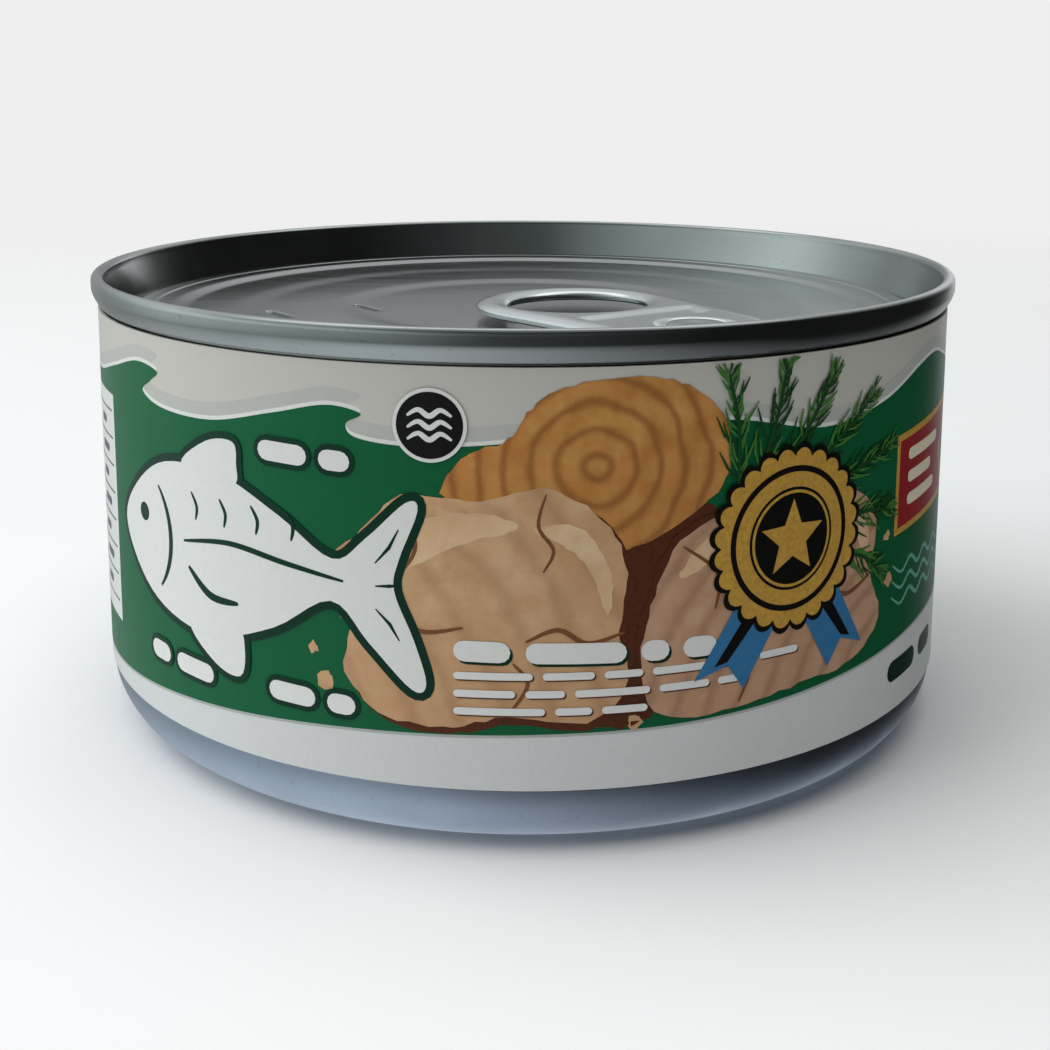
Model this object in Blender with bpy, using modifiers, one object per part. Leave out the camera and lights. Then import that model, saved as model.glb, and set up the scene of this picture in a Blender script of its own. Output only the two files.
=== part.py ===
"""A shut tuna can: drawn steel cup, easy-open lid with a ring pull, and a paper label.

Metres, +Z up. The origin is the middle of the base, at the height of the flat ring it stands on.
"""
import math

import bmesh
import bpy

MM = 0.001

# Whole can
CAN_HEIGHT = 44.2 * MM
RIM_RADIUS = 43.6 * MM
ROUND_STEPS = 80

# Drawn steel cup, solid because the can is shut
WALL_RADIUS = 42.45 * MM
BAND_RADIUS = 42.85 * MM
BAND_TOP = 5.75 * MM
CUP_TOP = 37.0 * MM
STAND_RING_OUTER = 37.4 * MM
STAND_RING_INNER = 35.6 * MM
BASE_RECESS = 0.9 * MM
BASE_RECESS_RADIUS = 34.4 * MM
BASE_BEAD_RADIUS = 22.5 * MM
BASE_BEAD_WIDTH = 4.0 * MM
BASE_BEAD_HEIGHT = 0.4 * MM

# Paper label, a sleeve glued round the wall
GAP = 0.3 * MM
LABEL_BOTTOM = BAND_TOP + GAP
LABEL_TOP = 41.1 * MM
LABEL_INNER = WALL_RADIUS + GAP
LABEL_THICKNESS = 0.25 * MM

# Double seam, the rolled edge that joins lid and cup
CREST_ROUNDING = 0.6 * MM
SEAM_WALL_BOTTOM = 42.9 * MM
SEAM_BOTTOM = LABEL_TOP + GAP
SEAM_BOTTOM_RADIUS = 42.9 * MM
CHUCK_TOP_RADIUS = RIM_RADIUS - 2 * CREST_ROUNDING

# Lid panel, stepped down three times towards its middle
PANEL_LEVEL = 40.2 * MM
PANEL_EDGE_RADIUS = 40.0 * MM
STEPS = (
    (36.4 * MM, 34.2 * MM, 0.4 * MM),
    (30.0 * MM, 26.0 * MM, 0.15 * MM),
    (20.0 * MM, 16.0 * MM, 0.15 * MM),
)
SCORE_RADIUS = 38.0 * MM
SCORE_WIDTH = 0.5 * MM
SCORE_DEPTH = 0.18 * MM
COUNTERSINK_LEVEL = 39.1 * MM
COUNTERSINK_RADIUS = 40.65 * MM
COUNTERSINK_HALF_WIDTH = 0.6 * MM
LID_UNDERSIDE = CUP_TOP + GAP

# Ring pull: a ring over the middle of the lid that runs on into a broad riveted nose
TAB_TURN = math.radians(-54.7)
TAB_UNDERSIDE = 40.1 * MM
TAB_THICKNESS = 1.1 * MM
TAB_EDGE_ROUNDING = 0.5 * MM
RING_OFFSET = 9.7 * MM
RING_OUTER_RADIUS = 10.1 * MM
FINGER_HOLE_LENGTH = 13.4 * MM
FINGER_HOLE_WIDTH = 14.4 * MM
NOSE_RADIUS = 8.5 * MM
NOSE_DISTANCE = 15.4 * MM
CURLED_EDGE_WIDTH = 1.9 * MM
POCKET_START = 8.2 * MM
POCKET_END = 13.4 * MM
POCKET_CORNER = 1.4 * MM
POCKET_DEPTH = 0.6 * MM

# Rivet in a round dish in the nose
RIVET_DISTANCE = 17.8 * MM
RIVET_DISH_RADIUS = 4.0 * MM
RIVET_HOLE_RADIUS = 1.8 * MM
RIVET_SHANK_RADIUS = 1.5 * MM
RIVET_HEAD_RADIUS = 2.8 * MM
RIVET_HEAD_HEIGHT = 0.45 * MM

# Two short stamped dashes on the left, in line with the ring pull
DASH_LENGTH = 5.2 * MM
DASH_WIDTH = 1.0 * MM
DASH_DEPTH = 0.2 * MM
DASH_CENTRES = ((-24.3 * MM, -7.6 * MM), (-15.9 * MM, -2.4 * MM))


def clear_scene():
    for item in list(bpy.data.objects):
        bpy.data.objects.remove(item)


def make_collection(name):
    collection = bpy.data.collections.new(name)
    bpy.context.scene.collection.children.link(collection)
    return collection


def make_material(name, colour, roughness, metallic):
    material = bpy.data.materials.new(name)
    material.use_nodes = True
    shader = material.node_tree.nodes["Principled BSDF"]
    shader.inputs["Base Color"].default_value = (*colour, 1.0)
    shader.inputs["Roughness"].default_value = roughness
    shader.inputs["Metallic"].default_value = metallic
    material.diffuse_color = (*colour, 1.0)
    return material


def arc(centre_x, centre_y, radius, start, end, count):
    """Points on an arc, with angles in degrees."""
    points = []
    for index in range(count + 1):
        angle = math.radians(start + (end - start) * index / count)
        points.append((centre_x + radius * math.cos(angle), centre_y + radius * math.sin(angle)))
    return points


def soft_step(outer, inner, high, low, count=4):
    """A smooth drop from one level to another, from the outer radius inwards."""
    points = []
    for index in range(count + 1):
        part = index / count
        ease = 0.5 - 0.5 * math.cos(math.pi * part)
        points.append((outer + (inner - outer) * part, high + (low - high) * ease))
    return points


def turned(name, profile, collection, material, steps=ROUND_STEPS):
    """A solid of revolution round Z from a profile of (radius, height) pairs."""
    mesh = bpy.data.meshes.new(name)
    shape = bmesh.new()
    corners = [shape.verts.new((radius, 0.0, height)) for radius, height in profile]
    for first, second in zip(corners, corners[1:]):
        shape.edges.new((first, second))
    shape.to_mesh(mesh)
    shape.free()
    item = bpy.data.objects.new(name, mesh)
    collection.objects.link(item)
    screw = item.modifiers.new("Turn", "SCREW")
    screw.axis = "Z"
    screw.angle = 2 * math.pi
    screw.steps = steps
    screw.render_steps = steps
    screw.use_merge_vertices = True
    screw.merge_threshold = 0.00001
    screw.use_smooth_shade = True
    mesh.materials.append(material)
    return item


def closed(profile):
    """A profile whose last point is its first again, for a ring that doesn't reach the axis."""
    return profile + [profile[0]]


def plate(name, outlines, thickness, rounding, resolution, collection):
    """A flat plate from closed outlines, its edges rounded over, made a mesh with welded caps."""
    curve = bpy.data.curves.new(name + "_outline", "CURVE")
    curve.dimensions = "2D"
    curve.fill_mode = "BOTH"
    curve.extrude = thickness / 2 - rounding
    curve.bevel_depth = rounding
    curve.bevel_resolution = resolution
    curve.offset = -rounding
    for outline in outlines:
        spline = curve.splines.new("POLY")
        spline.points.add(len(outline) - 1)
        for point, (x, y) in zip(spline.points, outline):
            point.co = (x, y, 0.0, 1.0)
        spline.use_cyclic_u = True
    drawn = bpy.data.objects.new(name + "_drawn", curve)
    collection.objects.link(drawn)
    graph = bpy.context.evaluated_depsgraph_get()
    mesh = bpy.data.meshes.new_from_object(drawn.evaluated_get(graph))
    bpy.data.objects.remove(drawn)
    shape = bmesh.new()
    shape.from_mesh(mesh)
    bmesh.ops.remove_doubles(shape, verts=shape.verts, dist=0.000002)
    bmesh.ops.recalc_face_normals(shape, faces=shape.faces)
    shape.to_mesh(mesh)
    shape.free()
    item = bpy.data.objects.new(name, mesh)
    collection.objects.link(item)
    return item


def make_cutter(item):
    item.hide_render = True
    item.display_type = "WIRE"


def cut(item, cutter, name):
    modifier = item.modifiers.new(name, "BOOLEAN")
    modifier.operation = "DIFFERENCE"
    modifier.solver = "EXACT"
    modifier.object = cutter


def cup_profile():
    corner_width = BAND_RADIUS - STAND_RING_OUTER
    profile = [(0.0, CUP_TOP), (WALL_RADIUS, CUP_TOP), (WALL_RADIUS, BAND_TOP)]
    for x, z in arc(0.0, 0.0, 1.0, 0.0, -90.0, 7):
        profile.append((STAND_RING_OUTER + corner_width * x, BAND_TOP * (1.0 + z)))
    profile.append((STAND_RING_INNER, 0.0))
    profile.append((BASE_RECESS_RADIUS + 0.4 * MM, BASE_RECESS - 0.3 * MM))
    profile.append((BASE_RECESS_RADIUS, BASE_RECESS))
    profile.append((BASE_BEAD_RADIUS + BASE_BEAD_WIDTH / 2, BASE_RECESS))
    profile.append((BASE_BEAD_RADIUS, BASE_RECESS + BASE_BEAD_HEIGHT))
    profile.append((BASE_BEAD_RADIUS - BASE_BEAD_WIDTH / 2, BASE_RECESS))
    profile.append((0.0, BASE_RECESS))
    return profile


def panel_profile():
    """The panel from its middle outwards: soft steps between level rings, then the score."""
    level = PANEL_LEVEL
    inwards = []
    for outer, inner, drop in STEPS:
        inwards += soft_step(outer, inner, level, level - drop)
        level -= drop
    profile = [(0.0, level)] + inwards[::-1]
    profile.append((SCORE_RADIUS - SCORE_WIDTH / 2, PANEL_LEVEL))
    profile.append((SCORE_RADIUS, PANEL_LEVEL - SCORE_DEPTH))
    profile.append((SCORE_RADIUS + SCORE_WIDTH / 2, PANEL_LEVEL))
    return profile


def lid_profile():
    """From the middle of the panel out to the rolled rim, and down its outer side."""
    profile = panel_profile()
    edge = 0.35 * MM
    profile += arc(PANEL_EDGE_RADIUS - edge, PANEL_LEVEL - edge, edge, 90.0, 0.0, 2)
    half = COUNTERSINK_HALF_WIDTH
    profile += arc(COUNTERSINK_RADIUS, COUNTERSINK_LEVEL + half, half, 195.0, 345.0, 4)
    crest_centre = RIM_RADIUS - CREST_ROUNDING
    profile += arc(crest_centre, CAN_HEIGHT - CREST_ROUNDING, CREST_ROUNDING, 180.0, 0.0, 8)
    for index in range(5):
        part = index / 4
        radius = RIM_RADIUS - (RIM_RADIUS - SEAM_BOTTOM_RADIUS) * part ** 1.5
        profile.append((radius, SEAM_WALL_BOTTOM - (SEAM_WALL_BOTTOM - SEAM_BOTTOM) * part))
    profile.append((WALL_RADIUS, SEAM_BOTTOM))
    profile.append((WALL_RADIUS, LID_UNDERSIDE))
    profile.append((0.0, LID_UNDERSIDE))
    return profile


def label_profile():
    outer = LABEL_INNER + LABEL_THICKNESS
    outer_face = [(outer, LABEL_TOP), (outer, LABEL_BOTTOM)]
    inner_face = [(LABEL_INNER, LABEL_BOTTOM), (LABEL_INNER, LABEL_TOP)]
    return closed(outer_face + inner_face)


def rivet_profile():
    dish_floor = TAB_UNDERSIDE + TAB_THICKNESS - POCKET_DEPTH
    bottom = dish_floor + GAP
    top = bottom + RIVET_HEAD_HEIGHT
    foot = TAB_UNDERSIDE
    return [
        (0.0, top),
        (RIVET_HEAD_RADIUS * 0.62, top - 0.03 * MM),
        (RIVET_HEAD_RADIUS * 0.92, top - 0.14 * MM),
        (RIVET_HEAD_RADIUS, bottom + 0.08 * MM),
        (RIVET_HEAD_RADIUS - 0.1 * MM, bottom),
        (RIVET_SHANK_RADIUS, bottom),
        (RIVET_SHANK_RADIUS, foot),
        (0.0, foot),
    ]


def side_lean():
    """Half the angle between the two straight sides of the ring pull, in degrees."""
    return math.degrees(math.asin((RING_OUTER_RADIUS - NOSE_RADIUS) / NOSE_DISTANCE))


def tab_outline():
    """Ring and nose joined by their two shared tangents; X runs from the ring to the nose."""
    side = 90.0 - side_lean()
    ring = arc(0.0, 0.0, RING_OUTER_RADIUS, side, 360.0 - side, 24)
    nose = arc(NOSE_DISTANCE, 0.0, NOSE_RADIUS, -side, side, 16)
    return ring + nose


def half_width(distance):
    """Half the width inside the curled edges, at a distance from the ring's middle."""
    lean = math.radians(side_lean())
    return RING_OUTER_RADIUS / math.cos(lean) - distance * math.tan(lean) - CURLED_EDGE_WIDTH


def pocket_outline():
    """The sunk web between the ring and the nose, with rounded corners."""
    corner = POCKET_CORNER
    near_half = half_width(POCKET_START) - corner
    far_half = half_width(POCKET_END) - corner
    outline = arc(POCKET_END - corner, far_half, corner, 0.0, 90.0, 4)
    outline += arc(POCKET_START + corner, near_half, corner, 90.0, 180.0, 4)
    outline += arc(POCKET_START + corner, -near_half, corner, 180.0, 270.0, 4)
    outline += arc(POCKET_END - corner, -far_half, corner, 270.0, 360.0, 4)
    return outline


def oval(centre_x, length, width, count):
    points = []
    for index in range(count):
        angle = 2 * math.pi * index / count
        points.append((centre_x + length / 2 * math.cos(angle), width / 2 * math.sin(angle)))
    return points


def dash_outline():
    half = (DASH_LENGTH - DASH_WIDTH) / 2
    right = arc(half, 0.0, DASH_WIDTH / 2, -90.0, 90.0, 5)
    left = arc(-half, 0.0, DASH_WIDTH / 2, 90.0, 270.0, 5)
    return right + left


def build():
    clear_scene()
    can = make_collection("tuna_can")
    cutters = make_collection("cutters")

    steel = make_material("drawn_steel", (0.42, 0.46, 0.51), 0.38, 1.0)
    lid_steel = make_material("lid_steel", (0.45, 0.47, 0.48), 0.3, 1.0)
    tab_steel = make_material("tab_steel", (0.72, 0.76, 0.78), 0.26, 1.0)
    rivet_steel = make_material("rivet_steel", (0.6, 0.62, 0.63), 0.3, 1.0)
    paper = make_material("label_paper", (0.03, 0.2, 0.12), 0.4, 0.0)

    turned("can_body", cup_profile(), can, steel)
    turned("label", label_profile(), can, paper)

    lid = turned("lid", lid_profile(), can, lid_steel)
    for index, (x, y) in enumerate(DASH_CENTRES):
        floor = PANEL_LEVEL - sum(step[2] for step in STEPS[:index + 2])
        name = "dash_cutter_%d" % (index + 1)
        dash = plate(name, [dash_outline()], 4 * DASH_DEPTH, 0.1 * MM, 0, cutters)
        dash.location = (x, y, floor + DASH_DEPTH)
        dash.rotation_euler = (0.0, 0.0, TAB_TURN)
        make_cutter(dash)
        cut(lid, dash, "Dash %d" % (index + 1))

    outlines = [tab_outline(), oval(0.0, FINGER_HOLE_LENGTH, FINGER_HOLE_WIDTH, 36)]
    tab = plate("pull_tab", outlines, TAB_THICKNESS, TAB_EDGE_ROUNDING, 2, can)
    tab.data.materials.append(tab_steel)
    tab.location = (
        RING_OFFSET * math.cos(TAB_TURN),
        RING_OFFSET * math.sin(TAB_TURN),
        TAB_UNDERSIDE + TAB_THICKNESS / 2,
    )
    tab.rotation_euler = (0.0, 0.0, TAB_TURN)

    dish_width = 2 * RIVET_DISH_RADIUS
    hole_width = 2 * RIVET_HOLE_RADIUS
    pocket = plate("pocket_cutter", [pocket_outline()], 2 * POCKET_DEPTH, 0.2 * MM, 1, cutters)
    dish_outline = oval(RIVET_DISTANCE, dish_width, dish_width, 32)
    dish = plate("dish_cutter", [dish_outline], 2 * POCKET_DEPTH, 0.2 * MM, 1, cutters)
    hole_outline = oval(RIVET_DISTANCE, hole_width, hole_width, 24)
    hole = plate("rivet_hole_cutter", [hole_outline], 4 * TAB_THICKNESS, 0.05 * MM, 0, cutters)
    pocket.location = (0.0, 0.0, TAB_THICKNESS / 2)
    dish.location = (0.0, 0.0, TAB_THICKNESS / 2)
    for cutter, name in ((pocket, "Pocket"), (dish, "Rivet dish"), (hole, "Rivet hole")):
        cutter.parent = tab
        make_cutter(cutter)
        cut(tab, cutter, name)

    rivet = turned("rivet", rivet_profile(), can, rivet_steel, steps=24)
    reach = RING_OFFSET + RIVET_DISTANCE
    rivet.location = (reach * math.cos(TAB_TURN), reach * math.sin(TAB_TURN), 0.0)


build()
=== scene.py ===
"""Looks for the shut tuna can: drawn steel cup, ring-pull lid and a printed paper label."""

import math
import random

import bmesh
import bpy
import numpy as np
from mathutils import Matrix, Vector
from mathutils.geometry import tessellate_polygon


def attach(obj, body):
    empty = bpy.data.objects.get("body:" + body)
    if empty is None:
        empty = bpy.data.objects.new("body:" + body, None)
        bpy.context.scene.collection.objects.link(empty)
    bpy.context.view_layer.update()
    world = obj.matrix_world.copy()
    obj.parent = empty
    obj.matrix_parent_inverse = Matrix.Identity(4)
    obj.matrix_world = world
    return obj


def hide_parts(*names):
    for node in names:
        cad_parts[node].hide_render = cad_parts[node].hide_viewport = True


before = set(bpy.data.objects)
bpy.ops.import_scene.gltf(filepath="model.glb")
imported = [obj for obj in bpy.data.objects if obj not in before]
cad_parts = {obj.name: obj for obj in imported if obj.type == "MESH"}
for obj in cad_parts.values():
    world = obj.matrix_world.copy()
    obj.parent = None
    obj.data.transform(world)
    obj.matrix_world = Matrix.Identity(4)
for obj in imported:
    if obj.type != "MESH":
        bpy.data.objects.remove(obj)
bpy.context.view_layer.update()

MM = 0.001

# Whole can
CAN_HEIGHT = 44.2 * MM
RIM_RADIUS = 43.6 * MM
WALL_RADIUS = 42.45 * MM
FINE_STEPS = 288
SHARP_ANGLE = math.radians(38)

# Drawn steel cup
BAND_RADIUS = 42.85 * MM
BAND_TOP = 5.75 * MM
CUP_TOP = 37.0 * MM
STAND_RING_OUTER = 37.4 * MM
STAND_RING_INNER = 35.6 * MM
BASE_RECESS = 0.9 * MM
BASE_RECESS_RADIUS = 34.4 * MM
BASE_BEAD_RADIUS = 22.5 * MM
BASE_BEAD_WIDTH = 4.0 * MM
BASE_BEAD_HEIGHT = 0.4 * MM

# Paper label
GAP = 0.3 * MM
LABEL_BOTTOM = BAND_TOP + GAP
LABEL_TOP = 41.1 * MM
LABEL_INNER = WALL_RADIUS + GAP
LABEL_OUTER = 43.0 * MM
OVERLAP_LIFT = 0.1 * MM
OVERLAP_RAMP = math.radians(24)
OVERLAP_DROP = math.radians(0.6)
INK_LEVEL = 0.022 * MM
INK_CUT = 1.0 * MM
BULGES = 24

# Rolled rim
CREST_ROUNDING = 0.6 * MM
SEAM_WALL_BOTTOM = 42.9 * MM
SEAM_BOTTOM = LABEL_TOP + GAP
SEAM_BOTTOM_RADIUS = 42.9 * MM

# Lid panel
PANEL_LEVEL = 40.2 * MM
PANEL_EDGE_RADIUS = 40.0 * MM
STEPS = (
    (36.4 * MM, 34.2 * MM, 0.4 * MM),
    (30.0 * MM, 26.0 * MM, 0.15 * MM),
    (20.0 * MM, 16.0 * MM, 0.15 * MM),
)
SCORE_RADIUS = 38.0 * MM
SCORE_WIDTH = 0.5 * MM
SCORE_DEPTH = 0.18 * MM
COUNTERSINK_LEVEL = 39.1 * MM
COUNTERSINK_RADIUS = 40.65 * MM
COUNTERSINK_HALF_WIDTH = 0.6 * MM
LID_UNDERSIDE = CUP_TOP + GAP
LID_STEPS = 340

# Ring pull
TAB_TURN = math.radians(-54.7)
TAB_UNDERSIDE = 40.1 * MM
TAB_THICKNESS = 1.1 * MM
TAB_EDGE_ROUNDING = 0.5 * MM
RING_OFFSET = 9.7 * MM
RING_OUTER_RADIUS = 10.1 * MM
FINGER_HOLE_LENGTH = 13.4 * MM
FINGER_HOLE_WIDTH = 14.4 * MM
NOSE_RADIUS = 8.5 * MM
NOSE_DISTANCE = 15.4 * MM
CURLED_EDGE_WIDTH = 1.9 * MM
POCKET_START = 8.2 * MM
POCKET_END = 13.4 * MM
POCKET_CORNER = 1.4 * MM
POCKET_DEPTH = 0.6 * MM
WEB_DEPTH = 0.28 * MM
WEB_WALL = 1.7 * MM
CROWN_WIDTH = 1.7 * MM
CROWN_DROP = 0.36 * MM
TAB_MESH_SIZE = 0.13 * MM
TAB_SOFTENING = 9

# Rivet
RIVET_DISTANCE = 17.8 * MM
RIVET_DISH_RADIUS = 4.2 * MM
RIVET_DISH_WALL = 1.3 * MM
RIVET_HOLE_RADIUS = 1.8 * MM
RIVET_SHANK_RADIUS = 1.5 * MM
RIVET_HEAD_RADIUS = 2.8 * MM
RIVET_HEAD_HEIGHT = 0.45 * MM

# Stamped dashes
DASH_LENGTH = 5.2 * MM
DASH_WIDTH = 1.0 * MM
DASH_DEPTH = 0.22 * MM
DASH_CENTRES = ((-24.3 * MM, -7.6 * MM), (-15.9 * MM, -2.4 * MM))
DASH_SHADE_LENGTHS = (1.02 * DASH_LENGTH, 0.8 * DASH_LENGTH)
DASH_SHADE_WIDTHS = (1.2 * DASH_WIDTH, 0.84 * DASH_WIDTH)

# Varnish
VARNISH_ROUGHNESS = 0.34
SCUFFED_ROUGHNESS = 0.54
VARNISH_BUMP = 0.12 * MM
# Painted shade: the plain label paper darkens to a cream grey between these heights
TOP_SHADE_START = 12.0 * MM
TOP_SHADE_END = 36.0 * MM


def srgb(red, green, blue):
    """A colour given as 0 to 255 screen values, as linear light with alpha."""
    linear = []
    for value in (red, green, blue):
        share = value / 255
        linear.append(share / 12.92 if share <= 0.04045 else ((share + 0.055) / 1.055) ** 2.4)
    return (*linear, 1.0)


def dimmed(colour, share):
    """A colour at a share of its light."""
    return tuple(share * part for part in colour[:3]) + (1.0,)


def add_object(name, data):
    """A new object in the scene that holds a mesh, curve, lamp or camera."""
    item = bpy.data.objects.new(name, data)
    bpy.context.scene.collection.objects.link(item)
    return item


# Finishes

def new_group(name, inputs, place_input=False):
    """A node group with number inputs, given as name and default, and the node they enter by."""
    group = bpy.data.node_groups.new(name, "ShaderNodeTree")
    if place_input:
        group.interface.new_socket(name="Place", in_out="INPUT", socket_type="NodeSocketVector")
    for label, default in inputs:
        socket = group.interface.new_socket(name=label, in_out="INPUT", socket_type="NodeSocketFloat")
        socket.default_value = default
    return group, group.nodes.new("NodeGroupInput")


def give_out(group, results):
    """Makes a number output of the group for each result."""
    for label in results:
        group.interface.new_socket(name=label, in_out="OUTPUT", socket_type="NodeSocketFloat")
    leave = group.nodes.new("NodeGroupOutput")
    for label, result in results.items():
        group.links.new(result, leave.inputs[label])


def add_group(tree, name):
    node = tree.nodes.new("ShaderNodeGroup")
    node.node_tree = bpy.data.node_groups[name]
    return node


def object_place(tree):
    """The shaded point in the can's own coordinates."""
    return tree.nodes.new("ShaderNodeTexCoord").outputs["Object"]


def split_axes(tree, vector):
    """A vector's X, Y and Z."""
    parts = tree.nodes.new("ShaderNodeSeparateXYZ")
    tree.links.new(vector, parts.inputs["Vector"])
    return [parts.outputs[axis] for axis in "XYZ"]


def add_noise(tree, vector, scale, detail, roughness=0.5):
    noise = tree.nodes.new("ShaderNodeTexNoise")
    noise.inputs["Detail"].default_value = detail
    noise.inputs["Roughness"].default_value = roughness
    tree.links.new(vector, noise.inputs["Vector"])
    if isinstance(scale, (int, float)):
        noise.inputs["Scale"].default_value = scale
    else:
        tree.links.new(scale, noise.inputs["Scale"])
    return noise.outputs["Fac"]


def add_math(tree, operation, first, second):
    node = tree.nodes.new("ShaderNodeMath")
    node.operation = operation
    for socket, value in zip(node.inputs, (first, second)):
        if isinstance(value, (int, float)):
            socket.default_value = value
        else:
            tree.links.new(value, socket)
    return node.outputs["Value"]


def add_range(tree, value, low, high, out_low=0.0, out_high=1.0):
    node = tree.nodes.new("ShaderNodeMapRange")
    limits = {"From Min": low, "From Max": high, "To Min": out_low, "To Max": out_high}
    for name, amount in limits.items():
        node.inputs[name].default_value = amount
    tree.links.new(value, node.inputs["Value"])
    return node.outputs["Result"]


def sheet_metal_group():
    """Rolling lines, slow tone drift and fine pits for tinplate, from object coordinates."""
    group, entry = new_group(
        "sheet_metal_marks",
        (("Line Scale", 900.0), ("Pit Scale", 1800.0), ("Drift Scale", 60.0)),
    )
    place = object_place(group)
    stretch = group.nodes.new("ShaderNodeMapping")
    stretch.inputs["Scale"].default_value = (0.05, 1.0, 0.3)
    stretch.inputs["Rotation"].default_value = (0.0, 0.0, math.radians(27))
    group.links.new(place, stretch.inputs["Vector"])
    lines = add_noise(group, stretch.outputs["Vector"], entry.outputs["Line Scale"], 4.0)
    pits = add_noise(group, place, entry.outputs["Pit Scale"], 3.0)
    drift = add_noise(group, place, entry.outputs["Drift Scale"], 2.0)
    pit_mask = add_range(group, pits, 0.64, 0.84)
    height = add_math(group, "SUBTRACT", lines, pit_mask)
    give_out(group, {"Lines": lines, "Pits": pit_mask, "Drift": drift, "Height": height})


def paper_group():
    """Fibre, slow waviness and faint handling scuffs of varnished label paper."""
    group, entry = new_group(
        "varnished_paper",
        (("Fibre Scale", 2600.0), ("Wave Scale", 45.0), ("Scuff Scale", 160.0)),
    )
    place = object_place(group)
    fibre = add_noise(group, place, entry.outputs["Fibre Scale"], 4.0, 0.6)
    wave = add_noise(group, place, entry.outputs["Wave Scale"], 1.0)
    scuff = add_noise(group, place, entry.outputs["Scuff Scale"], 6.0, 0.65)
    scuff_mask = add_range(group, scuff, 0.58, 0.74)
    small = add_math(group, "MULTIPLY", fibre, 0.06)
    height = add_math(group, "ADD", wave, small)
    give_out(group, {"Fibre": fibre, "Scuff": scuff_mask, "Height": height})


def flesh_group():
    """Flake bands round a point, fine streaks and speckle, for the picture of cooked fish."""
    group, entry = new_group(
        "flaked_flesh",
        (("Band Scale", 90.0), ("Wobble", 2.2), ("Streak Scale", 420.0)),
        place_input=True,
    )
    wave = group.nodes.new("ShaderNodeTexWave")
    wave.wave_type = "RINGS"
    wave.rings_direction = "SPHERICAL"
    wave.inputs["Detail"].default_value = 3.0
    wave.inputs["Detail Scale"].default_value = 1.6
    group.links.new(entry.outputs["Place"], wave.inputs["Vector"])
    group.links.new(entry.outputs["Band Scale"], wave.inputs["Scale"])
    group.links.new(entry.outputs["Wobble"], wave.inputs["Distortion"])
    bands = add_math(group, "POWER", wave.outputs["Fac"], 3.0)
    streaks = add_noise(group, entry.outputs["Place"], entry.outputs["Streak Scale"], 5.0, 0.62)
    shade = add_noise(group, entry.outputs["Place"], 95.0, 3.0)
    give_out(group, {"Bands": bands, "Streaks": streaks, "Shade": shade})


def new_material(name):
    material = bpy.data.materials.new(name)
    material.use_nodes = True
    tree = material.node_tree
    return material, tree, tree.nodes["Principled BSDF"]


def mix_colours(tree, share, first, second):
    mix = tree.nodes.new("ShaderNodeMix")
    mix.data_type = "RGBA"
    tree.links.new(share, mix.inputs["Factor"])
    for name, colour in (("A", first), ("B", second)):
        socket = [s for s in mix.inputs if s.name == name and s.type == "RGBA"][0]
        if isinstance(colour, tuple):
            socket.default_value = colour
        else:
            tree.links.new(colour, socket)
    return [s for s in mix.outputs if s.type == "RGBA"][0]


def add_bump(tree, height, distance, strength):
    bump = tree.nodes.new("ShaderNodeBump")
    bump.inputs["Distance"].default_value = distance
    bump.inputs["Strength"].default_value = strength
    tree.links.new(height, bump.inputs["Height"])
    return bump.outputs["Normal"]


def dash_shadow(tree):
    """One inside the lid's two pressed dashes, for the painted shade there, and nought elsewhere."""
    place = object_place(tree)
    shadow = None
    for centre in DASH_CENTRES:
        turn = tree.nodes.new("ShaderNodeMapping")
        turn.vector_type = "TEXTURE"
        turn.inputs["Location"].default_value = (centre[0], centre[1], 0.0)
        turn.inputs["Rotation"].default_value = (0.0, 0.0, TAB_TURN)
        tree.links.new(place, turn.inputs["Vector"])
        along, across = split_axes(tree, turn.outputs["Vector"])[:2]
        slots = []
        for offset, edge, full in ((along, *DASH_SHADE_LENGTHS), (across, *DASH_SHADE_WIDTHS)):
            away = add_math(tree, "ABSOLUTE", offset, 0.0)
            slots.append(add_range(tree, away, edge / 2, full / 2))
        slot = add_math(tree, "MINIMUM", *slots)
        shadow = slot if shadow is None else add_math(tree, "MAXIMUM", shadow, slot)
    return shadow


def metal_finish(name, light, dark, rough_low, rough_high, line_scale, bump):
    """Tinplate between two tones and two roughnesses, with rolling lines and fine pits."""
    material, tree, shader = new_material(name)
    marks = add_group(tree, "sheet_metal_marks")
    marks.inputs["Line Scale"].default_value = line_scale
    drift = add_range(tree, marks.outputs["Drift"], 0.3, 0.7)
    base = mix_colours(tree, drift, light, dark)
    pitted = mix_colours(tree, marks.outputs["Pits"], base, dimmed(dark, 0.8))
    tree.links.new(pitted, shader.inputs["Base Color"])
    rough = add_range(tree, marks.outputs["Lines"], 0.3, 0.7, rough_low, rough_high)
    tree.links.new(rough, shader.inputs["Roughness"])
    tree.links.new(add_bump(tree, marks.outputs["Height"], 0.01 * MM, bump), shader.inputs["Normal"])
    shader.inputs["Metallic"].default_value = 1.0
    return material


def paint_dash_shade(material):
    """Darkens a lid finish inside the two pressed dashes with painted shade."""
    tree = material.node_tree
    colour = tree.nodes["Principled BSDF"].inputs["Base Color"]
    bright = colour.links[0].from_socket
    tree.links.new(mix_colours(tree, dash_shadow(tree), bright, srgb(70, 75, 78)), colour)


def add_varnish(tree, shader, coat):
    """Varnished label paper's shine, bumps and scuffs; gives back its marks."""
    paper = add_group(tree, "varnished_paper")
    scuff = paper.outputs["Scuff"]
    rough = add_range(tree, scuff, 0.0, 1.0, VARNISH_ROUGHNESS, SCUFFED_ROUGHNESS)
    tree.links.new(rough, shader.inputs["Roughness"])
    bump = add_bump(tree, paper.outputs["Height"], VARNISH_BUMP, 0.25)
    tree.links.new(bump, shader.inputs["Normal"])
    shader.inputs["Specular IOR Level"].default_value = 0.2
    shader.inputs["Coat Weight"].default_value = coat
    shader.inputs["Coat Roughness"].default_value = 0.16
    return paper


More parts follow.
